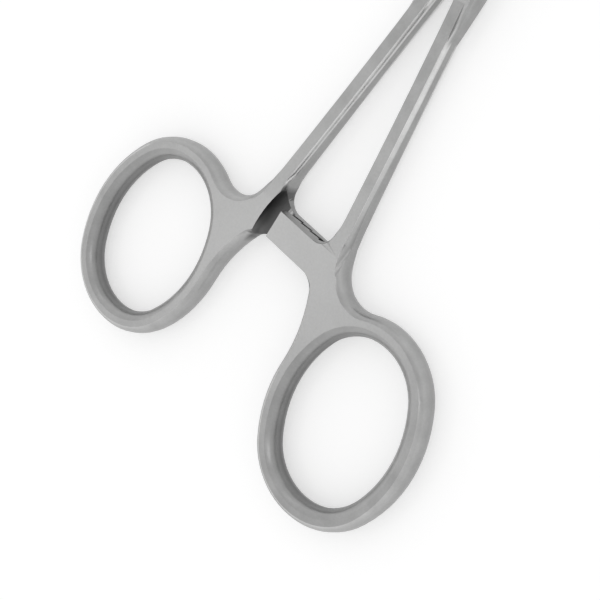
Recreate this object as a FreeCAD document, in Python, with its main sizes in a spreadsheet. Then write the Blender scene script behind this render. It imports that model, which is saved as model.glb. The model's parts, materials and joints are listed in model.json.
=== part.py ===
import FreeCAD, Part
import math
import os
import Sketcher

# Ring-handled locking forceps, closed. Millimetres, +Z up. The instrument lies flat: the pivot axis is Z
# through the origin, the jaws point along +Y, and the flat underside of the box lock is at Z = 0.
# Both halves are the same forging. It is drawn once as the half whose ring lies on the +X side, with the
# middle plane at Z = 0, and the other half is that shape turned half a turn about Y.

# Driving dimensions: name, value, meaning
DIMENSIONS = (
    ("ring_offset", 24.3, "ring centre, sideways from the pivot"),
    ("ring_drop", 74.1, "ring centre, behind the pivot"),
    ("ring_tilt", 4.7, "lean of the ring's front end towards the middle, in degrees"),
    ("hole_length", 28.3, "finger hole, long axis"),
    ("hole_width", 21.3, "finger hole, short axis"),
    ("hole_end_radius", 9.5, "radius of the finger hole's two ends"),
    ("wire_width", 3.75, "width of the ring's section in plan"),
    ("ring_bevel", 1.1, "how far the ring's top face stands back from its outer side"),
    ("hole_bevel", 1.6, "how far the ring's top face stands back from the finger hole"),
    ("handle_thickness", 4.3, "thickness of ring, neck and ratchet"),
    ("edge_bevel", 0.3, "set-back of the neck's top face"),
    ("shank_bevel", 0.48, "set-back of the shank's top face"),
    ("arm_bevel", 0.2, "set-back of the ratchet arm's top face"),
    ("neck_radius", 5.9, "hollow between shank and ring, at the ring"),
    ("neck_sweep_radius", 100.0, "long curve that leads the shank's outer side into that hollow"),
    ("neck_sweep_turn", 6.6, "turn of that long curve, in degrees"),
    ("throat_radius", 3.6, "hollow between ratchet arm and ring, at the arm"),
    ("throat_turn", 64.0, "turn of that hollow, in degrees"),
    ("throat_sweep_radius", 26.0, "long curve from that hollow to the ring's side"),
    ("crotch_radius", 2.7, "hollow between ratchet arm and shank, at the arm"),
    ("crotch_sweep_radius", 12.5, "long curve from that hollow to the shank's inner side"),
    ("crotch_sweep_turn", 15.0, "turn of that long curve, in degrees"),
    ("shank_foot_offset", 7.65, "shank centre line at its foot, sideways"),
    ("shank_foot_drop", 52.0, "foot of the shank, behind the pivot"),
    ("shank_head_offset", 2.6, "shank centre line at its head, sideways"),
    ("shank_head_drop", 12.0, "head of the shank, behind the pivot"),
    ("shank_width", 2.8, "width of the shank at mid-thickness"),
    ("waist_thickness", 3.35, "least thickness of the shank"),
    ("waist_drop", 27.0, "thinnest place of the shank, behind the pivot"),
    ("waist_front_drop", 11.0, "front end of the thinned stretch, behind the pivot"),
    ("waist_front_thickness", 3.8, "thickness of the shank at that end"),
    ("waist_rear_drop", 54.0, "rear end of the thinned stretch, behind the pivot"),
    ("flute_radius", 1.3, "radius of the flutes along the shank's corners"),
    ("flute_reach", 0.95, "depth line of a flute, from the shank's centre line"),
    ("flute_drop", 0.1, "centre of a flute, below the shank's face"),
    ("flute_outer_drop", 56.5, "where the outer flutes have left the face, behind the pivot"),
    ("flute_inner_drop", 53.0, "where the inner flutes have left the face, behind the pivot"),
    ("flute_run_out", 4.5, "length over which a flute rises out of the face"),
    ("arm_drop", 59.6, "rear edge of the ratchet arms, behind the pivot"),
    ("arm_width", 5.25, "width of a ratchet arm"),
    ("arm_overrun", 4.4, "how far an arm's tip reaches past the middle"),
    ("relief_offset", 7.2, "wall where a half thins to its arm, sideways"),
    ("relief_drop", 58.3, "middle of that curved wall, behind the pivot"),
    ("relief_radius", 20.0, "radius of that wall in plan"),
    ("relief_corner", 2.6, "hollow at the foot of that wall"),
    ("tooth_pitch", 2.1, "pitch of the ratchet teeth"),
    ("tooth_depth", 0.5, "depth of the ratchet teeth"),
    ("tooth_play", 0.04, "tips of the ratchet teeth to the middle plane"),
    ("parting_play", 0.05, "flat sides and jaws to the centre line"),
    ("box_width", 9.0, "width of the box lock"),
    ("box_reach", 6.5, "radius of the box lock's ends about the pivot"),
    ("box_thickness", 4.8, "thickness of the box lock"),
    ("box_bevel", 0.35, "broken edge round the cheeks"),
    ("box_step", 0.12, "how far the box stands proud of shanks and jaws"),
    ("box_overlap", 2.0, "how far shank and jaw start inside the box's round ends"),
    ("shoulder_play", 0.1, "box end to the shoulders of the tongue half"),
    ("tongue_thickness", 2.0, "thickness of the tongue in the box"),
    ("tongue_play", 0.05, "tongue to each cheek"),
    ("hub_radius", 2.6, "radius of the tongue round the pin"),
    ("hub_play", 0.12, "hub to the walls of the slot"),
    ("pin_diameter", 2.6, "diameter of the pivot pin"),
    ("pin_play", 0.05, "radial play of the tongue on the pin"),
    ("opening_angle", 50.0, "how far the halves open"),
    ("opening_reserve", 4.0, "slot's reserve past the full opening"),
    ("flare_length", 9.0, "length over which the shank's head widens"),
    ("jaw_reach", 47.0, "tip of the jaws, ahead of the pivot"),
    ("jaw_root_width", 3.9, "width of a jaw just ahead of the box lock"),
    ("jaw_tip_width", 1.45, "width of a jaw near its tip"),
    ("jaw_tip_thickness", 2.3, "thickness of a jaw near its tip"),
    ("jaw_tip_taper", 3.0, "length of the rounded end of a jaw"),
    ("serration_start", 13.0, "first jaw serration, ahead of the pivot"),
    ("serration_pitch", 1.0, "pitch of the jaw serrations"),
    ("serration_depth", 0.3, "depth of the jaw serrations"),
)
TOOTH_COUNT = 3
# Rounding of the forging: height of each plan outline as a share of the half thickness, and its share of the
# set-back of the top face
LEVELS = ((-1.0, 1.0), (-0.84, 0.5), (-0.5, 0.14), (0.0, 0.0), (0.5, 0.14), (0.84, 0.5), (1.0, 1.0))
# Flare: share of the way from the shank to the box lock, inner and outer side as shares of the box's half
# width, and share of the growth in thickness
FLARE_SECTIONS = ((0.35, 0.42, 1.06, 0.25), (0.68, 0.22, 1.01, 0.75), (1.0, 0.0, 1.0, 1.0))
# Jaw: share of the way to the rounded end, and share of the side that is flat
JAW_SECTIONS = ((0.0, 0.85), (0.21, 0.7), (0.6, 0.5), (1.0, 0.4))
# Rounded end of a jaw: share of its length, and share of width and thickness left
JAW_TIP_SECTIONS = ((0.73, 0.79, 0.8), (1.0, 0.35, 0.4))
FAR = 12.0
LEAD = 3.0

doc = FreeCAD.newDocument("forceps")
sheet = doc.addObject("Spreadsheet::Sheet", "sizes")
for row, (alias, value, meaning) in enumerate(DIMENSIONS, start=1):
    sheet.set(f"A{row}", alias)
    sheet.set(f"B{row}", str(value))
    sheet.set(f"C{row}", meaning)
    sheet.setAlias(f"B{row}", alias)
doc.recompute()


def size(alias):
    """Value of one driving dimension."""
    return float(getattr(sheet, alias))


def bind(item, **formulas):
    """Tie properties of an object to the sheet. A double underscore stands for a dot."""
    for key, formula in formulas.items():
        item.setExpression(key.replace("__", "."), formula)
    return item


# Plain geometry of the plan outline
def unit(vector):
    return vector / vector.Length


def line(start, end):
    return ("line", start, end)


def arc(centre, start, end, clockwise, radius_formula=None):
    return ("arc", start, end, centre, clockwise, radius_formula)


def outline(name, segments, height=None, rotation=None):
    """Closed sketch of lines and arcs that follow each other."""
    sketch = doc.addObject("Sketcher::SketchObject", name)
    if rotation:
        sketch.Placement = FreeCAD.Placement(FreeCAD.Vector(), rotation)
    first_points = []
    for index, segment in enumerate(segments):
        start, end = segment[1], segment[2]
        if segment[0] == "line":
            sketch.addGeometry(Part.LineSegment(start, end), False)
            first_points.append((1, 2))
            continue
        centre, clockwise, radius_formula = segment[3:]
        radius = (start - centre).Length
        if clockwise:
            start, end = end, start
        from_angle = math.atan2(start.y - centre.y, start.x - centre.x)
        to_angle = math.atan2(end.y - centre.y, end.x - centre.x)
        if to_angle <= from_angle:
            to_angle += 2.0 * math.pi
        circle = Part.Circle(centre, FreeCAD.Vector(0, 0, 1), radius)
        sketch.addGeometry(Part.ArcOfCircle(circle, from_angle, to_angle), False)
        first_points.append((2, 1) if clockwise else (1, 2))
        if radius_formula:
            constraint = sketch.addConstraint(Sketcher.Constraint("Radius", index, radius))
            sketch.setExpression(f"Constraints[{constraint}]", radius_formula)
    count = len(segments)
    for index in range(count):
        following = (index + 1) % count
        ends = (index, first_points[index][1], following, first_points[following][0])
        sketch.addConstraint(Sketcher.Constraint("Coincident", *ends))
    if height:
        bind(sketch, Placement__Base__z=height)
    return sketch


def polygon(points):
    """Straight outline through the points, closed."""
    return [line(start, end) for start, end in zip(points, points[1:] + points[:1])]


def prism(name, sketch, along, forward, backward):
    """Sketch extruded both ways along an axis."""
    item = doc.addObject("Part::Extrusion", name)
    item.Base = sketch
    item.DirMode = "Custom"
    item.Dir = FreeCAD.Vector(*along)
    item.Solid = True
    bind(item, LengthFwd=forward, LengthRev=backward)
    return item


def loft(name, sections, ruled):
    item = doc.addObject("Part::Loft", name)
    item.Sections = sections
    item.Solid = True
    item.Ruled = ruled
    item.MaxDegree = 3
    return item


def cut(name, base, tools):
    """Base with all the tools taken away, one after the other."""
    for index, tool in enumerate(tools, start=1):
        last = index == len(tools)
        item = doc.addObject("Part::Cut", name if last else f"{name}_step_{index}")
        item.Base = base
        item.Tool = tool
        base = item
    return base


def fuse(name, parts):
    item = doc.addObject("Part::MultiFuse", name)
    item.Shapes = parts
    return item


UPRIGHT = FreeCAD.Rotation(FreeCAD.Vector(1, 0, 0), 90)
LENGTHWISE = FreeCAD.Rotation(FreeCAD.Vector(0, 0, 1), 90) * FreeCAD.Rotation(FreeCAD.Vector(1, 0, 0), 90)


def ring_arcs(grow):
    """Centres, radii and joints of the four-arc oval, grown outwards from the finger hole."""
    centre = FreeCAD.Vector(size("ring_offset"), -size("ring_drop"), 0)
    lean = math.radians(size("ring_tilt"))
    along = FreeCAD.Vector(-math.sin(lean), math.cos(lean), 0)
    across = FreeCAD.Vector(along.y, -along.x, 0)
    half_width = size("hole_width") / 2.0
    end_radius = size("hole_end_radius")
    stretch = size("hole_length") / 2.0 - end_radius
    side_radius = (half_width ** 2 - end_radius ** 2 + stretch ** 2) / (2.0 * (half_width - end_radius))
    shift = side_radius - half_width
    centres = {
        "front": centre + along * stretch,
        "rear": centre - along * stretch,
        "outer": centre - across * shift,
        "inner": centre + across * shift,
    }
    joints = {}
    for end in ("front", "rear"):
        for side in ("outer", "inner"):
            ray = unit(centres[end] - centres[side])
            joints[f"{end}_{side}"] = centres[end] + ray * (end_radius + grow)
    return centres, joints, end_radius + grow, side_radius + grow


def hole_outline(name, share, height):
    """Oval of the finger hole at one height."""
    grow = share * size("hole_bevel")
    centres, joints, _, _ = ring_arcs(grow)
    radius = f"sizes.hole_end_radius + sizes.hole_bevel * {share}"
    segments = [
        arc(centres["front"], joints["front_outer"], joints["front_inner"], False, radius),
        arc(centres["inner"], joints["front_inner"], joints["rear_inner"], False),
        arc(centres["rear"], joints["rear_inner"], joints["rear_outer"], False, radius),
        arc(centres["outer"], joints["rear_outer"], joints["front_outer"], False),
    ]
    return outline(name, segments, height)


def shank_line():
    """Head, foot, direction to the rear and outward normal of the shank's centre line."""
    head = FreeCAD.Vector(size("shank_head_offset"), -size("shank_head_drop"), 0)
    foot = FreeCAD.Vector(size("shank_foot_offset"), -size("shank_foot_drop"), 0)
    rearward = unit(foot - head)
    outward = FreeCAD.Vector(-rearward.y, rearward.x, 0)
    return head, foot, rearward, outward


def turned(vector, degrees):
    return FreeCAD.Rotation(FreeCAD.Vector(0, 0, 1), degrees).multVec(vector)


def hollow(circle_centre, circle_radius, point, direction, open_side, first_radius, turn, second_radius):
    """Two arcs that lead from a line into a circle's outside: the first leaves the line, the second meets the
    circle. Returns both centres, the point on the line, the joint of the arcs and the point on the circle."""
    ray = turned(open_side, turn)
    offset = open_side * first_radius + ray * (second_radius - first_radius)
    start = point + offset - circle_centre
    along = start.dot(direction)
    travel = -along - math.sqrt(along ** 2 - start.dot(start) + (circle_radius + second_radius) ** 2)
    on_line = point + direction * travel
    first = on_line + open_side * first_radius
    second = on_line + offset
    on_circle = circle_centre + unit(second - circle_centre) * circle_radius
    return first, second, on_line, first - ray * first_radius, on_circle


def blank_outline(name, share, height):
    """Plan of ring, neck, ratchet arm and shank at one height. It runs clockwise."""
    edge_back = share * size("edge_bevel")
    arm_back = share * size("arm_bevel")
    centres, joints, end_radius, side_radius = ring_arcs(size("wire_width") - share * size("ring_bevel"))
    head, _, rearward, outward = shank_line()
    half_width = size("shank_width") / 2.0 - share * size("shank_bevel")
    backward = FreeCAD.Vector(0, -1, 0)

    # Outside: shank, neck, ring
    outer_head = head + outward * half_width
    sweep, neck, sweep_start, neck_start, neck_end = hollow(
        centres["front"], end_radius, outer_head, rearward, outward,
        size("neck_sweep_radius") + edge_back, size("neck_sweep_turn"), size("neck_radius") + edge_back,
    )

    # Rear edge of the arm, with the throat
    rear_point = FreeCAD.Vector(0, -size("arm_drop") + arm_back, 0)
    throat, throat_sweep, throat_end, throat_joint, throat_start = hollow(
        centres["inner"], side_radius, rear_point, FreeCAD.Vector(1, 0, 0), backward,
        size("throat_radius") + arm_back, -size("throat_turn"), size("throat_sweep_radius") + arm_back,
    )

    # Tip and front edge of the arm, with the crotch
    front_edge = -size("arm_drop") + size("arm_width") - arm_back
    tip = -size("arm_overrun") + arm_back
    inner_head = head - outward * half_width
    crotch_radius = size("crotch_radius") + arm_back
    crotch_sweep_radius = size("crotch_sweep_radius") + arm_back
    ray = turned(outward, -size("crotch_sweep_turn"))
    beside = inner_head - outward * crotch_sweep_radius + ray * (crotch_sweep_radius - crotch_radius)
    travel = rearward * ((front_edge + crotch_radius - beside.y) / rearward.y)
    crotch = beside + travel
    crotch_sweep = inner_head - outward * crotch_sweep_radius + travel

    segments = [
        line(outer_head, sweep_start),
        arc(sweep, sweep_start, neck_start, False, f"sizes.neck_sweep_radius + sizes.edge_bevel * {share}"),
        arc(neck, neck_start, neck_end, False, f"sizes.neck_radius + sizes.edge_bevel * {share}"),
        arc(centres["front"], neck_end, joints["front_outer"], True),
        arc(centres["outer"], joints["front_outer"], joints["rear_outer"], True),
        arc(centres["rear"], joints["rear_outer"], joints["rear_inner"], True),
        arc(centres["inner"], joints["rear_inner"], throat_start, True),
        arc(throat_sweep, throat_start, throat_joint, False),
        arc(throat, throat_joint, throat_end, False, f"sizes.throat_radius + sizes.arm_bevel * {share}"),
        line(throat_end, FreeCAD.Vector(tip, rear_point.y, 0)),
        line(FreeCAD.Vector(tip, rear_point.y, 0), FreeCAD.Vector(tip, front_edge, 0)),
        line(FreeCAD.Vector(tip, front_edge, 0), crotch + backward * crotch_radius),
        arc(crotch, crotch + backward * crotch_radius, crotch + ray * crotch_radius, False,
            f"sizes.crotch_radius + sizes.arm_bevel * {share}"),
        arc(crotch_sweep, crotch + ray * crotch_radius, inner_head + travel, False),
        line(inner_head + travel, inner_head),
        line(inner_head, outer_head),
    ]
    return outline(name, segments, height)


def handle_blank(prefix):
    """Ring, neck, arm and shank: plan outlines lofted, with the finger hole taken out."""
    blanks = []
    holes = []
    for index, (height_share, bevel_share) in enumerate(LEVELS):
        height = f"sizes.handle_thickness / 2 * {height_share}"
        blanks.append(blank_outline(f"{prefix}_plan_{index}", bevel_share, height))
        holes.append(hole_outline(f"{prefix}_hole_{index}", bevel_share, height))
    body = loft(f"{prefix}_blank", blanks, True)
    hole = loft(f"{prefix}_finger_hole", holes, True)
    return cut(f"{prefix}_ring", body, [hole])


def waist(prefix):
    """Cutters that thin the shank from above and below on a long arc."""
    half = size("handle_thickness") / 2.0
    front = FreeCAD.Vector(-size("waist_front_drop"), size("waist_front_thickness") / 2.0, 0)
    middle = FreeCAD.Vector(-size("waist_drop"), size("waist_thickness") / 2.0, 0)
    rear = FreeCAD.Vector(-size("waist_rear_drop"), half, 0)
    sweep = Part.Arc(rear, middle, front)
    circle = Part.Circle(rear, middle, front)
    top = half + LEAD
    segments = [
        arc(circle.Center, sweep.StartPoint, sweep.EndPoint, False),
        line(front, FreeCAD.Vector(front.x, top, 0)),
        line(FreeCAD.Vector(front.x, top, 0), FreeCAD.Vector(rear.x, top, 0)),
        line(FreeCAD.Vector(rear.x, top, 0), rear),
    ]
    profile = outline(f"{prefix}_waist_profile", segments, rotation=LENGTHWISE)
    upper = prism(f"{prefix}_waist_upper", profile, (1, 0, 0), "sizes.shank_foot_offset * 3", "1")
    lower = doc.addObject("Part::Mirroring", f"{prefix}_waist_lower")
    lower.Source = upper
    lower.Normal = FreeCAD.Vector(0, 0, 1)
    return [upper, lower]


def rod(name, radius, start, end):
    """Round cutter from one point to another."""
    along = end - start
    item = doc.addObject("Part::Cylinder", name)
    item.Height = along.Length
    item.Placement = FreeCAD.Placement(start, FreeCAD.Rotation(FreeCAD.Vector(0, 0, 1), along))
    return bind(item, Radius=radius)


def flutes(prefix):
    """Long hollows along the shank's four corners. At the neck they rise out of the face."""
    head, _, rearward, outward = shank_line()
    radius = size("flute_radius")
    thin_level = size("waist_thickness") / 2.0 - size("flute_drop")
    full_level = size("handle_thickness") / 2.0 - size("flute_drop")
    clear_level = size("handle_thickness") / 2.0 + radius
    items = []
    for side, side_name in ((1, "outer"), (-1, "inner")):
        end_drop = size(f"flute_{side_name}_drop")
        stops = (
            (size("shank_head_drop") - LEAD, thin_level),
            (size("waist_drop"), thin_level),
            (end_drop - size("flute_run_out"), full_level),
            (end_drop, clear_level),
        )
        for face, face_name in ((1, "upper"), (-1, "lower")):
            points = []
            for drop, level in stops:
                on_line = head - rearward * ((drop - size("shank_head_drop")) / rearward.y)
                aside = outward * side * (size("flute_reach") + radius)
                points.append(on_line + aside + FreeCAD.Vector(0, 0, face * level))
            for index, (start, end) in enumerate(zip(points, points[1:])):
                overlap = unit(end - start) * (radius / 4.0 if index else 0.0)
                label = f"{prefix}_flute_{side_name}_{face_name}_{index}"
                items.append(rod(label, "sizes.flute_radius", start - overlap, end))
    return items


def relief_cutter(prefix, root):
    """Round cutter with a rounded corner. Its side leaves the curved wall where a half thins to its arm."""
    radius = size("relief_radius")
    corner = size("relief_corner")
    axis = size("relief_offset") - radius
    below = -size("handle_thickness")
    rim = FreeCAD.Vector(axis + radius, root - corner, 0)
    shoulder = FreeCAD.Vector(axis + radius - corner, root, 0)
    segments = [
        line(FreeCAD.Vector(axis, below, 0), FreeCAD.Vector(axis + radius, below, 0)),
        line(FreeCAD.Vector(axis + radius, below, 0), rim),
        arc(FreeCAD.Vector(shoulder.x, rim.y, 0), rim, shoulder, False, "sizes.relief_corner"),
        line(shoulder, FreeCAD.Vector(axis, root, 0)),
        line(FreeCAD.Vector(axis, root, 0), FreeCAD.Vector(axis, below, 0)),
    ]
    profile = outline(f"{prefix}_relief_cutter_profile", segments, rotation=UPRIGHT)
    bind(profile, Placement__Base__y="-sizes.relief_drop")
    item = doc.addObject("Part::Revolution", f"{prefix}_relief_cutter")
    item.Source = profile
    item.Axis = FreeCAD.Vector(0, 0, 1)
    item.Solid = True
    return bind(item, Base__x="sizes.relief_offset - sizes.relief_radius", Base__y="-sizes.relief_drop")


def ratchet_relief(prefix):
    """What is taken from under the arm: up to the curved wall, and between the saw teeth that face down."""
    root = size("tooth_play") + size("tooth_depth")
    tip = size("tooth_play")
    below = -size("handle_thickness")
    above = root + size("tooth_depth")
    beyond = size("relief_offset") + size("wire_width")
    end = -size("arm_overrun") - size("tooth_pitch")
    pitch = size("tooth_pitch")
    first = pitch * TOOTH_COUNT / 2.0
    points = [FreeCAD.Vector(beyond, below, 0), FreeCAD.Vector(beyond, above, 0), FreeCAD.Vector(first, above, 0)]
    for tooth in range(TOOTH_COUNT):
        points.append(FreeCAD.Vector(first - tooth * pitch, tip, 0))
        points.append(FreeCAD.Vector(first - (tooth + 1) * pitch, root, 0))
    points.append(FreeCAD.Vector(first - TOOTH_COUNT * pitch, above, 0))
    points.append(FreeCAD.Vector(end, above, 0))
    points.append(FreeCAD.Vector(end, below, 0))
    profile = outline(f"{prefix}_relief_profile", polygon(points), rotation=UPRIGHT)
    under = prism(f"{prefix}_relief_under", profile, (0, 1, 0), "-sizes.shank_head_drop", "sizes.ring_drop")
    item = doc.addObject("Part::Common", f"{prefix}_relief")
    item.Base = under
    item.Tool = relief_cutter(prefix, root)
    return item


def octagon(name, drop, inner, outer, half, corner):
    """Cross-section with cut corners, at a distance behind the pivot."""
    points = [
        FreeCAD.Vector(inner, -half + corner, 0), FreeCAD.Vector(inner + corner, -half, 0),
        FreeCAD.Vector(outer - corner, -half, 0), FreeCAD.Vector(outer, -half + corner, 0),
        FreeCAD.Vector(outer, half - corner, 0), FreeCAD.Vector(outer - corner, half, 0),
        FreeCAD.Vector(inner + corner, half, 0), FreeCAD.Vector(inner, half - corner, 0),
    ]
    section = outline(name, polygon(points), rotation=UPRIGHT)
    return bind(section, Placement__Base__y=f"-({drop})")


def flare(prefix):
    """Shank's head, growing from inside the shank to the width and thickness of the box lock."""
    head, _, rearward, _ = shank_line()
    start = head + rearward * size("flare_length")
    core = size("shank_width") / 2.0 - size("shank_bevel") - size("box_step")
    side = size("box_width") / 2.0 - size("box_step")
    bevel = size("box_bevel")
    thin = size("waist_thickness") / 2.0 - bevel
    thick = size("box_thickness") / 2.0 - size("box_step")
    way = -start.y - (size("box_reach") - size("box_overlap"))
    items = [octagon(f"{prefix}_flare_0", -start.y, start.x - core, start.x + core, thin, bevel)]
    for index, (share, inner, outer, growth) in enumerate(FLARE_SECTIONS, start=1):
        drop = -start.y - share * way
        half = thin + growth * (thick - thin)
        items.append(octagon(f"{prefix}_flare_{index}", drop, side * inner, side * outer, half, bevel))
    return loft(f"{prefix}_flare", items, False)


def jaw_section(name, ahead, width, half, flat):
    """Cross-section of a jaw: flat inside, flat top and bottom, rounded outside."""
    inside = size("serration_depth") * 2.0
    corner = -width * flat
    top = FreeCAD.Vector(corner, half, 0)
    bottom = FreeCAD.Vector(corner, -half, 0)
    side = Part.Circle(top, FreeCAD.Vector(-width, 0, 0), bottom)
    segments = [
        line(FreeCAD.Vector(inside, -half, 0), FreeCAD.Vector(inside, half, 0)),
        line(FreeCAD.Vector(inside, half, 0), top),
        arc(side.Center, top, bottom, False),
        line(bottom, FreeCAD.Vector(inside, -half, 0)),
    ]
    section = outline(name, segments, rotation=UPRIGHT)
    return bind(section, Placement__Base__y=ahead)


def jaw(prefix):
    """Tapering jaw on the -X side. It starts as wide as the box and narrows quickly to its root width."""
    box = size("box_width") / 2.0 - size("box_step")
    root = size("jaw_root_width")
    tip = size("jaw_tip_width")
    root_half = size("box_thickness") / 2.0 - size("box_step")
    tip_half = size("jaw_tip_thickness") / 2.0
    first = "(sizes.box_reach - sizes.box_overlap)"
    last = "(sizes.jaw_reach - sizes.jaw_tip_taper)"
    flat = JAW_SECTIONS[-1][1]
    stations = []
    for share, flat_share in JAW_SECTIONS:
        width = root + share * (tip - root) if share > 0 else box
        half = root_half + share * (tip_half - root_half)
        stations.append((f"{first} + {share} * ({last} - {first})", width, half, flat_share))
    for share, width_share, half_share in JAW_TIP_SECTIONS:
        ahead = f"{last} + {share} * sizes.jaw_tip_taper"
        stations.append((ahead, tip * width_share, tip_half * half_share, flat))
    sections = [
        jaw_section(f"{prefix}_jaw_{index}", *station) for index, station in enumerate(stations)
    ]
    return loft(f"{prefix}_jaw", sections, False)


def jaw_face(prefix, phase):
    """What is taken from the jaw's inner side: the parting plane and the serrations."""
    play = size("parting_play")
    pitch = size("serration_pitch")
    start = size("serration_start")
    rise = size("serration_depth") / 2.0
    count = int((size("jaw_reach") - start) / pitch)
    behind = size("box_reach") - size("box_overlap") - 1.0
    points = [FreeCAD.Vector(FAR, behind, 0), FreeCAD.Vector(-play, behind, 0), FreeCAD.Vector(-play, start, 0)]
    for tooth in range(count):
        ahead = start + tooth * pitch
        points.append(FreeCAD.Vector(-play + rise * phase, ahead + 0.25 * pitch, 0))
        points.append(FreeCAD.Vector(-play - rise * phase, ahead + 0.75 * pitch, 0))
    points.append(FreeCAD.Vector(-play, start + count * pitch, 0))
    points.append(FreeCAD.Vector(-play, size("jaw_reach") + 1.0, 0))
    points.append(FreeCAD.Vector(FAR, size("jaw_reach") + 1.0, 0))
    profile = outline(f"{prefix}_jaw_face_profile", polygon(points))
    half = "sizes.box_thickness"
    return prism(f"{prefix}_jaw_face", profile, (0, 0, 1), half, half)


def block(name, low, high):
    """Box between two corners, each given as three formulas."""
    item = doc.addObject("Part::Box", name)
    bind(
        item,
        Length=f"({high[0]}) - ({low[0]})",
        Width=f"({high[1]}) - ({low[1]})",
        Height=f"({high[2]}) - ({low[2]})",
        Placement__Base__x=low[0],
        Placement__Base__y=low[1],
        Placement__Base__z=low[2],
    )
    return item


def post(name, radius, height):
    """Round post on the pivot axis, centred on the middle plane."""
    item = doc.addObject("Part::Cylinder", name)
    return bind(item, Radius=radius, Height=height, Placement__Base__z=f"-({height}) / 2")


def half_forging(prefix, phase):
    """One half without its share of the box lock."""
    handle = handle_blank(prefix)
    shaped = cut(f"{prefix}_handle", handle, waist(prefix) + flutes(prefix) + [ratchet_relief(prefix)])
    joined = fuse(f"{prefix}_joined", [shaped, flare(prefix), jaw(prefix)])
    parting = block(
        f"{prefix}_parting",
        ("-sizes.box_width", "-sizes.waist_drop", "-sizes.box_thickness"),
        ("sizes.parting_play", "-sizes.box_reach + sizes.box_overlap + 1", "sizes.box_thickness"),
    )
    return cut(f"{prefix}_forging", joined, [parting, jaw_face(prefix, phase)])


def barrel(name):
    """Outside of the box lock: round ends about the pivot, straight sides, broken edges."""
    round_body = post(name + "_round", "sizes.box_reach", "sizes.box_thickness")
    side = "sizes.box_width / 2"
    depth = "sizes.box_thickness / 2"
    sides = block(name + "_sides", (f"-{side}", "-sizes.box_reach", f"-{depth}"), (side, "sizes.box_reach", depth))
    body = doc.addObject("Part::Common", name + "_body")
    body.Base = round_body
    body.Tool = sides
    doc.recompute()
    level = size("box_thickness") / 2.0
    edges = []
    for index, edge in enumerate(body.Shape.Edges, start=1):
        if all(abs(abs(vertex.Point.z) - level) < 1e-6 for vertex in edge.Vertexes):
            edges.append((index, size("box_bevel"), size("box_bevel")))
    rounded = doc.addObject("Part::Chamfer", name)
    rounded.Base = body
    rounded.Edges = edges
    return rounded


def slot():
    """Room for the tongue inside the box: its hub, and the sweep of its two arms."""
    radius = size("hub_radius") + size("hub_play")
    turn = math.radians(size("opening_angle") + size("opening_reserve"))
    touch = FreeCAD.Vector(math.cos(turn), -math.sin(turn), 0) * radius
    ahead = FreeCAD.Vector(math.sin(turn), math.cos(turn), 0) * FAR
    reach = FreeCAD.Vector(0, FAR, 0)
    points = [FreeCAD.Vector(), reach, reach + FreeCAD.Vector(FAR, 0, 0), touch + ahead, touch]
    points += [FreeCAD.Vector(-point.x, -point.y, 0) for point in points]
    profile = outline("slot_profile", polygon(points))
    depth = "sizes.tongue_thickness / 2 + sizes.tongue_play"
    sweep = prism("slot_sweep", profile, (0, 0, 1), depth, depth)
    hub = post("slot_hub", "sizes.hub_radius + sizes.hub_play", f"2 * ({depth})")
    return fuse("slot", [sweep, hub])


def box_half():
    """Half with the slotted box, its ring on the +X side."""
    forging = half_forging("box", 1)
    body = fuse("box_body", [forging, barrel("barrel")])
    hole = post("box_pin_hole", "sizes.pin_diameter / 2", "sizes.box_thickness + 2")
    item = cut("box_half", body, [slot(), hole])
    return bind(item, Placement__Base__z="sizes.box_thickness / 2")


def tongue_half():
    """Half with the tongue, turned over so that its ring lies on the -X side."""
    forging = half_forging("tongue", -1)
    room = post("shoulder_room", "sizes.box_reach + sizes.shoulder_play", "sizes.box_thickness + 2")
    shouldered = cut("tongue_shouldered", forging, [room])
    half = "sizes.tongue_thickness / 2"
    hub = post("tongue_hub", "sizes.hub_radius", "sizes.tongue_thickness")
    reach = "sizes.box_reach + 1"
    rear = block("tongue_rear", ("sizes.parting_play", f"-({reach})", f"-{half}"), ("sizes.hub_radius", "0", half))
    front = block("tongue_front", ("-sizes.hub_radius", "0", f"-{half}"), ("-sizes.parting_play", reach, half))
    body = fuse("tongue_body", [shouldered, hub, rear, front])
    bore = post("tongue_bore", "sizes.pin_diameter / 2 + sizes.pin_play", "sizes.box_thickness + 2")
    item = cut("tongue_half", body, [bore])
    item.Placement = FreeCAD.Placement(FreeCAD.Vector(), FreeCAD.Rotation(FreeCAD.Vector(0, 1, 0), 180))
    return bind(item, Placement__Base__z="sizes.box_thickness / 2")


def pivot_pin():
    """Rivet pin, flush with both cheeks."""
    item = doc.addObject("Part::Cylinder", "pivot_pin")
    return bind(item, Radius="sizes.pin_diameter / 2", Height="sizes.box_thickness")


def write_parts(items):
    doc.recompute()
    for item in doc.Objects:
        if "Invalid" in item.State or "Error" in item.State:
            raise RuntimeError(f"{item.Label} failed: {item.State}")
    os.makedirs("parts", exist_ok=True)
    for item in items:
        shape = item.Shape
        if shape.isNull() or not shape.isValid() or len(shape.Solids) != 1:
            raise RuntimeError(f"{item.Label} isn't one valid solid: {len(shape.Solids)}")
    for item in items:
        item.Shape.exportStep(f"parts/{item.Label}.step")
        print(item.Label, round(item.Shape.Volume, 1), item.Shape.BoundBox)


write_parts([box_half(), tongue_half(), pivot_pin()])
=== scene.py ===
import json
import math

import bmesh
import bpy
from mathutils import Matrix, Vector

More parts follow.
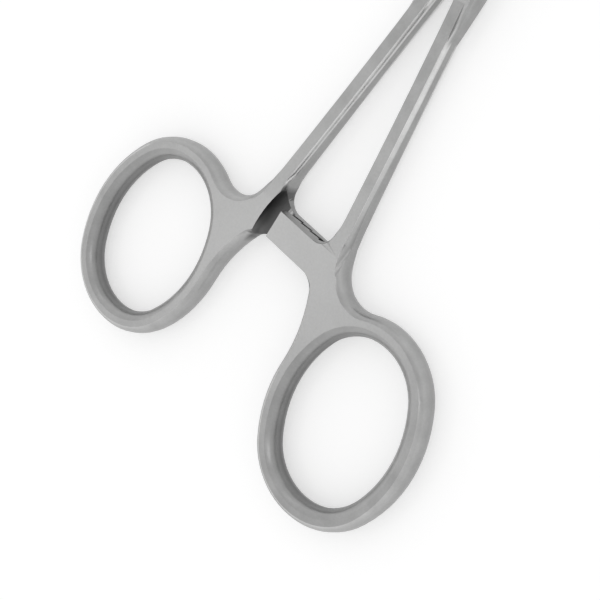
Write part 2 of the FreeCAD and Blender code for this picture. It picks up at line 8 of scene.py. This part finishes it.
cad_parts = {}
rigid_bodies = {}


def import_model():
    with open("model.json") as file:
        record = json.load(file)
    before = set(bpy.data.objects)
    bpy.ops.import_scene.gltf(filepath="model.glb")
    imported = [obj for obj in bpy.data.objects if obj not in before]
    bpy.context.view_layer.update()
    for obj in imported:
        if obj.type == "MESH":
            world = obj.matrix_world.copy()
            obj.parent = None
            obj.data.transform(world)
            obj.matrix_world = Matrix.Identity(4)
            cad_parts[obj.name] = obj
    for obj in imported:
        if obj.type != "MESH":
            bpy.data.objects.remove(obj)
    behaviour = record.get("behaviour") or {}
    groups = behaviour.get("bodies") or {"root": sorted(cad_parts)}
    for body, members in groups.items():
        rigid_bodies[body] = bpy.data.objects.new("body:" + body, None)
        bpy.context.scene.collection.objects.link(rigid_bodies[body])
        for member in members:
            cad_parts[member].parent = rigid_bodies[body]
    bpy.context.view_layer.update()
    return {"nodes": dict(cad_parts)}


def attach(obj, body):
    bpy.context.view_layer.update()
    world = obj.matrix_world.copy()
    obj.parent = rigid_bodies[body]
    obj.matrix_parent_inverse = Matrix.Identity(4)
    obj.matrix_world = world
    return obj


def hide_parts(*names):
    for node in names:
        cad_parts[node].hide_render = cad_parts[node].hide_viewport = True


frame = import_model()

MM = 0.001
WHITE = (1.0, 1.0, 1.0, 1.0)

# Camera: above the pivot and to its right, looking back over the rings, with the jaws out of view
CAMERA_PLACE = Vector((106.748, 13.487, 183.520)) * MM
CAMERA_RIGHT = Vector((0.643064, 0.506408, -0.574474))
CAMERA_DOWN = Vector((0.616202, -0.787575, -0.004485))
CAMERA_FORWARD = Vector((-0.454712, -0.351108, -0.818511))
CAMERA_LENS = 84.0
CAMERA_SENSOR = 36.0
CAMERA_NEAR = 0.005
CAMERA_FAR = 10.0

# Square soft lamps: name, place, length of a side, watts
LAMPS = (
    ("face_lamp", (-0.43, -0.35, 0.74), 0.15, 0.15),
    ("edge_lamp", (-0.32, 0.44, 0.68), 0.14, 0.07),
    ("near_lamp", (0.40, 0.25, 0.76), 0.14, 0.18),
)
LAMP_AIM = Vector((0.0, -0.06, 0.0))

# Pale room: its brightness low down and overhead. It changes between two heights, of which 0 is
# level with the table and 1 straight up
ROOM_LOW_LIGHT = 1.0
ROOM_TOP_LIGHT = 0.72
ROOM_LOW = 0.15
ROOM_TOP = 0.7

# White table
TABLE_SIZE = 4.0
TABLE_TONE = (0.70, 0.70, 0.70, 1.0)
TABLE_ROUGHNESS = 0.9
TABLE_GLOW = 0.45

# Steel's noises: name, scale, detail. Then how much they change its tone, roughness and height
NOISES = (("grain", 2600.0, 2.0), ("clouds", 300.0, 4.0), ("hammering", 160.0, 1.0))
NOISE_MIDDLE = 0.5
MOTTLE = 0.40
SPECKLE = 0.16
WEAR = 0.16
GRAIN_HEIGHT = 0.12
RELIEF_DEPTH = 0.01 * MM

# The three finishes, from fully rubbed (bright) to as tumbled (dull). Their tones between these
# ends also give the painted shade and painted highlights carried by the marks. The pin carries no
# marks, so its two levels are the same
SATIN_STEEL = {
    "Light End Tone": (0.88, 0.88, 0.875, 1.0),
    "Dark End Tone": (0.10, 0.10, 0.10, 1.0),
    "Bright Roughness": 0.24,
    "Dull Roughness": 0.40,
    "Unevenness": 4.0,
}
# Eased edges: a little lighter than the faces, for rubbing wear and a painted highlight
WORN_AND_HIGHLIT_EDGE_STEEL = {
    "Light End Tone": (0.92, 0.92, 0.915, 1.0),
    "Dark End Tone": (0.14, 0.14, 0.14, 1.0),
    "Bright Roughness": 0.24,
    "Dull Roughness": 0.36,
    "Unevenness": 3.0,
}
GROUND_PIN_STEEL = {
    "Light End Tone": (0.56, 0.56, 0.555, 1.0),
    "Dark End Tone": (0.56, 0.56, 0.555, 1.0),
    "Bright Roughness": 0.26,
    "Dull Roughness": 0.26,
    "Unevenness": 1.0,
}

# A Mix node's colour sockets, by number, because its other kinds have sockets of the same names
MIX_COLOR_A = 6
MIX_COLOR_B = 7
MIX_COLOR_RESULT = 2

# Skin of the forgings
MERGE_DISTANCE = 0.002 * MM
EDGE_WIDTH = 0.1 * MM
EDGE_SEGMENTS = 2
EDGE_ANGLE = math.radians(31.0)
EDGE_MATERIAL = 1
SMOOTH_ANGLE = math.radians(48.0)
FLAT_FACE = 0.9995

# Places on the forging, as in the CAD. Those across the long axis hold for both halves
RING_OFFSET = 24.3 * MM  # middle of the ring, across
RING_PLACE = -74.1 * MM  # and along
RING_REACH = 17.0 * MM  # from there to beyond the wall of the finger hole
RATCHET_WALL = 7.4 * MM  # just outside the curved wall where a half thins to its ratchet arm
RATCHET_REAR = -62.0 * MM
RATCHET_FRONT = -51.0 * MM
SHANK_FRONT = -12.0 * MM
SHANK_HEAD = 2.6 * MM  # the shank's centre line at its front, across
SHANK_SPREAD = 0.126  # and how far it moves outwards per length
SHANK_CORE = 1.3 * MM  # nearer to the centre line are the flutes, further off the flanks
MIDDLE = 2.4 * MM  # height of the middle plane
HALF_THICKNESS = 2.15 * MM  # of the ring, neck and ratchet arm

# How brightly each kind of surface is rubbed, with painted shade and painted highlights in the
# same number: 0 as tumbled, 1 fully rubbed
POLISH_AND_LIGHT_MARKS = "polish_and_painted_light"
FACE_POLISH = 0.43
# Flanks: a duller tumbled finish and painted shade, darkest at the middle height
FLANK_POLISH_AND_SHADE = 0.33
# Arrises of the rings and necks: rubbing wear and a painted highlight line
ARRIS_WEAR_AND_HIGHLIGHT = 0.60
# Finger-hole walls: painted shade, darkest at the middle of the wall, on a duller finish
HOLE_POLISH_AND_SHADE = 0.10
# Curved wall at the ratchet arm: painted shade in the recess, on a duller finish
RELIEF_POLISH_AND_SHADE = 0.06
# Ends of the ratchet arms: painted shade, on a duller finish
ARM_END_POLISH_AND_SHADE = 0.28
# Floor of the flutes: painted shade, on a duller finish
FLUTE_POLISH_AND_SHADE = 0.16
# Lips of the flutes: a painted highlight, on rubbing wear
FLUTE_LIP_POLISH_AND_HIGHLIGHT = 0.75

# Shares of the half thickness over which one kind of surface passes into the next, and with it
# painted shade into painted highlight
HOLE_SHADE_RISE = (0.2, 1.0)
FLUTE_SHADE_TO_HIGHLIGHT_RISE = (0.05, 0.35)
FLANK_SHADE_RISE = (0.3, 0.9)
ARRIS_HIGHLIGHT_RISE = (0.88, 0.98)

# How far a facet's normal points up or down, at the hole, outwards or ahead, to count as doing so
OPEN_FACE = 0.985
HOLE_SIDE = 0.1
OUTER_SIDE = 0.2
ARM_END_SIDE = 0.5

# Least distance from the middle of the ring that is divided by
SHORTEST = 0.001 * MM


def deselect_all():
    for item in bpy.data.objects:
        item.select_set(False)


def select_only(item):
    deselect_all()
    item.select_set(True)
    bpy.context.view_layer.objects.active = item


def shader_math(tree, operation, first, second):
    """Output of a new Math node. Each input is a number or another node's output."""
    node = tree.nodes.new("ShaderNodeMath")
    node.operation = operation
    for socket, value in zip(node.inputs, (first, second)):
        if isinstance(value, float):
            socket.default_value = value
        else:
            tree.links.new(value, socket)
    return node.outputs["Value"]


# Camera
def place_camera():
    lens = bpy.data.cameras.new("camera")
    lens.lens = CAMERA_LENS
    lens.sensor_width = CAMERA_SENSOR
    lens.clip_start = CAMERA_NEAR
    lens.clip_end = CAMERA_FAR
    camera = bpy.data.objects.new("camera", lens)
    bpy.context.collection.objects.link(camera)
    turned = Matrix((CAMERA_RIGHT, -CAMERA_DOWN, -CAMERA_FORWARD)).transposed()
    camera.matrix_world = Matrix.Translation(CAMERA_PLACE) @ turned.to_4x4()
    bpy.context.scene.camera = camera


# Light
def soft_box(name, place, side, watts):
    lamp = bpy.data.lights.new(name, "AREA")
    lamp.shape = "SQUARE"
    lamp.size = side
    lamp.energy = watts
    item = bpy.data.objects.new(name, lamp)
    bpy.context.collection.objects.link(item)
    item.location = place
    item.rotation_euler = (LAMP_AIM - Vector(place)).to_track_quat("-Z", "Y").to_euler()


def pale_room():
    """A white room all round, a little dimmer overhead."""
    world = bpy.data.worlds.new("studio")
    bpy.context.scene.world = world
    world.use_nodes = True
    nodes = world.node_tree.nodes
    links = world.node_tree.links
    nodes.clear()
    direction = nodes.new("ShaderNodeTexCoord")
    parts = nodes.new("ShaderNodeSeparateXYZ")
    links.new(direction.outputs["Generated"], parts.inputs["Vector"])
    light = nodes.new("ShaderNodeMapRange")
    light.inputs["From Min"].default_value = ROOM_LOW
    light.inputs["From Max"].default_value = ROOM_TOP
    light.inputs["To Min"].default_value = ROOM_LOW_LIGHT
    light.inputs["To Max"].default_value = ROOM_TOP_LIGHT
    links.new(parts.outputs["Z"], light.inputs["Value"])
    room = nodes.new("ShaderNodeBackground")
    room.inputs["Color"].default_value = WHITE
    links.new(light.outputs["Result"], room.inputs["Strength"])
    output = nodes.new("ShaderNodeOutputWorld")
    links.new(room.outputs["Background"], output.inputs["Surface"])


# Table
def table_material():
    """White. The camera, and the steel's reflections, see it a little brighter than it is lit."""
    material = bpy.data.materials.new("white_table")
    material.use_nodes = True
    tree = material.node_tree
    shader = tree.nodes["Principled BSDF"]
    shader.inputs["Base Color"].default_value = TABLE_TONE
    shader.inputs["Roughness"].default_value = TABLE_ROUGHNESS
    shader.inputs["Specular IOR Level"].default_value = 0.0
    shader.inputs["Emission Color"].default_value = WHITE
    path = tree.nodes.new("ShaderNodeLightPath").outputs
    seen = shader_math(tree, "MAXIMUM", path["Is Camera Ray"], path["Is Glossy Ray"])
    seen = shader_math(tree, "MAXIMUM", seen, path["Is Transmission Ray"])
    glow = shader_math(tree, "MULTIPLY", seen, TABLE_GLOW)
    tree.links.new(glow, shader.inputs["Emission Strength"])
    return material


def table():
    deselect_all()
    bpy.ops.mesh.primitive_plane_add(size=TABLE_SIZE, location=(0.0, 0.0, 0.0))
    item = bpy.context.object
    item.name = "table_top"
    item.data.materials.append(table_material())


# Finishes
def tumbled_steel_group():
    """Tone, roughness and height of forged steel, between its dull and its bright finish. Between
    its dark and light ends the tone also carries painted shade and painted highlights.

    Clouds and grain vary the tone, clouds the roughness, and hammering and grain the height.
    """
    group = bpy.data.node_groups.new("tumbled_steel", "ShaderNodeTree")
    for in_out, kind, names in (
        ("INPUT", "NodeSocketFloat", ("Polish And Painted Light", "Bright Roughness", "Dull Roughness")),
        ("INPUT", "NodeSocketFloat", ("Unevenness",)),
        ("INPUT", "NodeSocketColor", ("Light End Tone", "Dark End Tone")),
        ("OUTPUT", "NodeSocketColor", ("Tone",)),
        ("OUTPUT", "NodeSocketFloat", ("Roughness", "Height")),
    ):
        for name in names:
            group.interface.new_socket(name=name, in_out=in_out, socket_type=kind)
    nodes = group.nodes
    links = group.links
    source = nodes.new("NodeGroupInput").outputs
    place = nodes.new("ShaderNodeTexCoord")
    noises = {}
    for name, scale, detail in NOISES:
        noise = nodes.new("ShaderNodeTexNoise")
        noise.inputs["Scale"].default_value = scale
        noise.inputs["Detail"].default_value = detail
        links.new(place.outputs["Object"], noise.inputs["Vector"])
        noises[name] = shader_math(group, "SUBTRACT", noise.outputs["Fac"], NOISE_MIDDLE)

    tone = nodes.new("ShaderNodeMix")
    tone.data_type = "RGBA"
    links.new(source["Polish And Painted Light"], tone.inputs["Factor"])
    links.new(source["Dark End Tone"], tone.inputs[MIX_COLOR_A])
    links.new(source["Light End Tone"], tone.inputs[MIX_COLOR_B])
    mottle = shader_math(group, "MULTIPLY", noises["clouds"], MOTTLE)
    speckle = shader_math(group, "MULTIPLY", noises["grain"], SPECKLE)
    strength = shader_math(group, "ADD", shader_math(group, "ADD", mottle, speckle), 1.0)
    shaded = nodes.new("ShaderNodeVectorMath")
    shaded.operation = "SCALE"
    links.new(tone.outputs[MIX_COLOR_RESULT], shaded.inputs["Vector"])
    links.new(strength, shaded.inputs["Scale"])

    roughness = nodes.new("ShaderNodeMix")
    links.new(source["Polish And Painted Light"], roughness.inputs["Factor"])
    links.new(source["Dull Roughness"], roughness.inputs["A"])
    links.new(source["Bright Roughness"], roughness.inputs["B"])
    wear = shader_math(group, "MULTIPLY", noises["clouds"], WEAR)
    worn_roughness = shader_math(group, "ADD", roughness.outputs["Result"], wear)

    waves = shader_math(group, "MULTIPLY", noises["hammering"], source["Unevenness"])
    grain = shader_math(group, "MULTIPLY", noises["grain"], GRAIN_HEIGHT)
    sink = nodes.new("NodeGroupOutput").inputs
    links.new(shaded.outputs["Vector"], sink["Tone"])
    links.new(worn_roughness, sink["Roughness"])
    links.new(shader_math(group, "ADD", waves, grain), sink["Height"])
    return group


def steel(name, group, levels):
    """Steel whose finish goes from dull to bright with the marks on the mesh, and with them from
    painted shade to painted highlight.
    """
    material = bpy.data.materials.new(name)
    material.use_nodes = True
    nodes = material.node_tree.nodes
    links = material.node_tree.links
    shader = nodes["Principled BSDF"]
    shader.inputs["Metallic"].default_value = 1.0
    surface = nodes.new("ShaderNodeGroup")
    surface.node_tree = group
    for level, value in levels.items():
        surface.inputs[level].default_value = value
    marks = nodes.new("ShaderNodeAttribute")
    marks.attribute_name = POLISH_AND_LIGHT_MARKS
    links.new(marks.outputs["Fac"], surface.inputs["Polish And Painted Light"])
    links.new(surface.outputs["Tone"], shader.inputs["Base Color"])
    links.new(surface.outputs["Roughness"], shader.inputs["Roughness"])
    relief = nodes.new("ShaderNodeBump")
    relief.inputs["Strength"].default_value = 1.0
    relief.inputs["Distance"].default_value = RELIEF_DEPTH
    links.new(surface.outputs["Height"], relief.inputs["Height"])
    links.new(relief.outputs["Normal"], shader.inputs["Normal"])
    return material


# Polish marks, with painted shade and painted highlights
def soft_rise(start, end, lift, span):
    """From start to end as lift goes through the span, slowly at both ends of it."""
    low, high = span
    share = min(max((lift - low) / (high - low), 0.0), 1.0)
    return start + (end - start) * (share * share * (3.0 - 2.0 * share))


def polish_and_painted_light(place, normal):
    """How brightly a corner of a facet is rubbed, and how much painted shade and highlight it
    gets: the same on both halves and on both faces.

    The wheel reaches the open faces and the arrises, less of the flanks, and hardly the hollows.
    The hollows, flanks and arm ends also carry painted shade, and the arrises and flute lips
    painted highlights.
    """
    if abs(normal.z) > OPEN_FACE:
        return FACE_POLISH
    across = abs(place.x)
    outwards = normal.x if place.x > 0.0 else -normal.x
    lift = abs(place.z - MIDDLE) / HALF_THICKNESS

    to_ring = Vector((RING_OFFSET - across, RING_PLACE - place.y))
    from_ring = to_ring.length
    towards_hole = (to_ring.x * outwards + to_ring.y * normal.y) / max(from_ring, SHORTEST)
    # Finger-hole walls: painted shade on a duller finish, darkest at the middle of the wall
    if from_ring < RING_REACH and towards_hole > HOLE_SIDE:
        return soft_rise(HOLE_POLISH_AND_SHADE, FACE_POLISH, lift, HOLE_SHADE_RISE)

    at_ratchet = across < RATCHET_WALL and RATCHET_REAR < place.y < RATCHET_FRONT
    # Ratchet relief wall and arm ends: painted shade on a duller finish
    if at_ratchet and outwards < OUTER_SIDE:
        return ARM_END_POLISH_AND_SHADE if normal.y > ARM_END_SIDE else RELIEF_POLISH_AND_SHADE

    shank_line = SHANK_HEAD + (SHANK_FRONT - place.y) * SHANK_SPREAD
    # Flutes: painted shade in the floor rising to a painted highlight at the lips
    if RATCHET_FRONT < place.y < SHANK_FRONT and abs(across - shank_line) < SHANK_CORE:
        return soft_rise(FLUTE_POLISH_AND_SHADE, FLUTE_LIP_POLISH_AND_HIGHLIGHT, lift, FLUTE_SHADE_TO_HIGHLIGHT_RISE)

    # Flanks: a duller finish with painted shade, darkest at the middle height
    side = soft_rise(FLANK_POLISH_AND_SHADE, FACE_POLISH, lift, FLANK_SHADE_RISE)
    # A painted highlight along the arrises of the rings and necks, on rubbing wear
    if place.y < RATCHET_REAR:
        side = soft_rise(side, ARRIS_WEAR_AND_HIGHLIGHT, lift, ARRIS_HIGHLIGHT_RISE)
    return side


# Writes the polish marks, with their painted shade and highlights, on every corner of every facet
def mark_polish_and_painted_light(item):
    mesh = item.data
    marks = mesh.attributes.new(POLISH_AND_LIGHT_MARKS, "FLOAT", "CORNER")
    for facet in mesh.polygons:
        for corner in facet.loop_indices:
            place = mesh.vertices[mesh.loops[corner].vertex_index].co
            marks.data[corner].value = polish_and_painted_light(place, facet.normal)


# Forged pieces
def merged_copy(node, name):
    """Copy of a CAD solid's loose triangles, merged into one skin."""
    mesh = bpy.data.meshes.new(name)
    skin = bmesh.new()
    skin.from_mesh(frame["nodes"][node].data)
    bmesh.ops.remove_doubles(skin, verts=skin.verts, dist=MERGE_DISTANCE)
    skin.to_mesh(mesh)
    skin.free()
    item = bpy.data.objects.new(name, mesh)
    bpy.context.collection.objects.link(item)
    return item


def apply_modifiers(item):
    select_only(item)
    for modifier in list(item.modifiers):
        bpy.ops.object.modifier_apply(modifier=modifier.name)


def ease_edges(item):
    """A narrow bevel along the edges, with the second of the piece's materials: a lighter steel
    for rubbing wear and a painted highlight.
    """
    easing = item.modifiers.new("eased_edges", "BEVEL")
    easing.width = EDGE_WIDTH
    easing.segments = EDGE_SEGMENTS
    easing.limit_method = "ANGLE"
    easing.angle_limit = EDGE_ANGLE
    easing.material = EDGE_MATERIAL
    apply_modifiers(item)


def smooth(item):
    """Rounded forms shaded smooth, and flat faces kept flat up to their edges."""
    select_only(item)
    bpy.ops.object.shade_smooth_by_angle(angle=SMOOTH_ANGLE)
    skin = bmesh.new()
    skin.from_mesh(item.data)
    for edge in skin.edges:
        flat = [abs(facet.normal.z) > FLAT_FACE for facet in edge.link_faces]
        if len(flat) == 2 and flat[0] != flat[1]:
            edge.smooth = False
    skin.to_mesh(item.data)
    skin.free()
    weights = item.modifiers.new("flat_faces_stay_flat", "WEIGHTED_NORMAL")
    weights.mode = "FACE_AREA_WITH_ANGLE"
    weights.keep_sharp = True
    apply_modifiers(item)


def forged_half(node, body, face_finish, edge_wear_and_highlight):
    item = merged_copy(node, node + "_skin")
    item.data.materials.append(face_finish)
    item.data.materials.append(edge_wear_and_highlight)
    ease_edges(item)
    smooth(item)
    mark_polish_and_painted_light(item)
    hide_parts(node)
    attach(item, body)


def finish_pin(pin_finish):
    """The pin's CAD shape is right and stays. Only its material is new."""
    materials = frame["nodes"]["pivot_pin"].data.materials
    materials.clear()
    materials.append(pin_finish)


bpy.context.scene.view_settings.view_transform = "Standard"
place_camera()
for lamp_name, lamp_place, lamp_side, lamp_watts in LAMPS:
    soft_box(lamp_name, lamp_place, lamp_side, lamp_watts)
pale_room()
table()

tumbled_steel = tumbled_steel_group()
satin = steel("satin_steel", tumbled_steel, SATIN_STEEL)
worn_and_highlit_edge = steel("worn_and_highlit_edge_steel", tumbled_steel, WORN_AND_HIGHLIT_EDGE_STEEL)
forged_half("box_half", "box_side", satin, worn_and_highlit_edge)
forged_half("tongue_half", "tongue_side", satin, worn_and_highlit_edge)
finish_pin(steel("ground_pin_steel", tumbled_steel, GROUND_PIN_STEEL))
